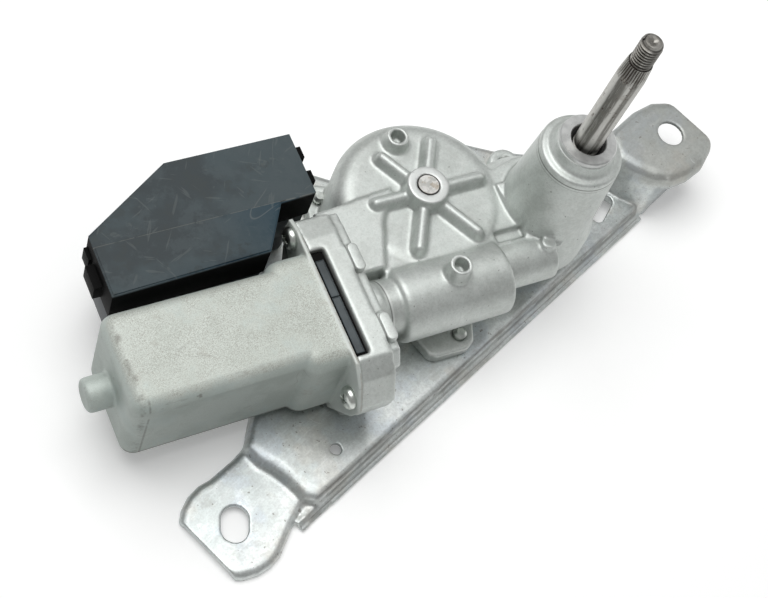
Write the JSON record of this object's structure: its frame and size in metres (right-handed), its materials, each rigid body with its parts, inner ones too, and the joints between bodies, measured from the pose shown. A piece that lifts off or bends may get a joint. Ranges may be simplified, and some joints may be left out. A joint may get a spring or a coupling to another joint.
{
  "type": "rear wiper motor",
  "caption": "Rear wiper motor: a flat-can motor and worm wheel swing an output shaft through a geared linkage, on a pressed bracket with three fixing ears.",
  "frame": {"origin": "on the output shaft's axis, in the top face of the tower's collar", "axes": "+X along the motor's axis from the can towards the worm's tip, +Z along the output shaft towards its thread"},
  "size_m": [0.2753, 0.1554, 0.1354],
  "materials": {
    "bracket_steel": "zinc-plated pressed sheet, faint blue and warm stains",
    "cast_aluminium": "fine-grained satin die casting",
    "can_steel": "matte grey-green phosphate with fine dark speckle",
    "bright_zinc": "bright zinc plate",
    "machined_steel": "turned steel",
    "shaft_steel": "worn steel with dark streaks",
    "collar_steel": "fine matte turned face",
    "bronze": "sintered bronze",
    "black_rubber": "matte",
    "black_plastic": "worn moulded plastic",
    "grey_plastic": "moulded plastic",
    "white_plastic": "natural nylon",
    "board_green": "lacquered board",
    "ferrite": "dull dark grey",
    "copper": "bare copper"
  },
  "bodies": {
    "housing": {"mounting_bracket": "bracket_steel", "gear_housing": "cast_aluminium", "housing_cover": "bracket_steel", "bracket_screws": "bright_zinc", "wheel_axle": "machined_steel", "thrust_washer": "bronze", "lower_bush": "bronze", "upper_bush": "bronze", "shaft_seal": "black_rubber", "tower_collar": "collar_steel", "motor_can": "can_steel", "can_screws": "bright_zinc", "can_bush": "bronze", "magnets": "ferrite", "brush_holder": "black_plastic", "carbon_brushes": "ferrite", "brush_springs": "machined_steel", "motor_gasket": "black_rubber", "worm_bearing": "machined_steel", "tip_bush": "bronze", "tip_plug": "white_plastic", "control_case": "grey_plastic", "control_lid": "black_plastic", "circuit_board": "board_green", "relay": "white_plastic", "capacitor": "machined_steel", "socket_terminals": "copper", "case_screws": "bright_zinc"},
    "armature": {"armature_shaft": "machined_steel", "worm": "machined_steel", "armature_core": "ferrite", "windings": "copper", "commutator": "copper"},
    "wheel": {"worm_wheel": "white_plastic", "wheel_insert": "bronze", "crank_pin": "machined_steel"},
    "output": {"output_shaft": "shaft_steel", "output_pinion": "machined_steel"},
    "lever": {"lever_plate": "machined_steel", "lever_pin": "machined_steel"},
    "link": {"toothed_link": "machined_steel"}
  },
  "joints": [
    {"name": "armature_spin", "type": "hinge", "parent": "housing", "child": "armature", "pos_m": [-0.12, -0.0203, -0.05], "axis": [1, 0, 0], "continuous": true},
    {"name": "wheel_spin", "type": "hinge", "parent": "housing", "child": "wheel", "pos_m": [-0.0465, 0.0147, -0.05], "axis": [0, 0, 1], "continuous": true},
    {"name": "output_sweep", "type": "hinge", "parent": "housing", "child": "output", "pos_m": [0, 0, 0], "axis": [0, 0, 1], "range_deg": [-123.7, 0]},
    {"name": "lever_swing", "type": "hinge", "parent": "housing", "child": "lever", "pos_m": [0, 0, -0.0665], "axis": [0, 0, 1], "range_deg": [-55.14, 0]},
    {"name": "link_turn", "type": "hinge", "parent": "lever", "child": "link", "pos_m": [-0.01218, 0.01038, -0.0635], "axis": [0, 0, 1], "range_deg": [0, 68.66]}
  ],
  "couplings": [
    {"joint": "wheel_spin", "follows": "armature_spin", "ratio": -0.017241},
    {"joint": "lever_swing", "follows": "output_sweep", "ratio": 0.44533},
    {"joint": "link_turn", "follows": "output_sweep", "ratio": -0.55467}
  ]
}
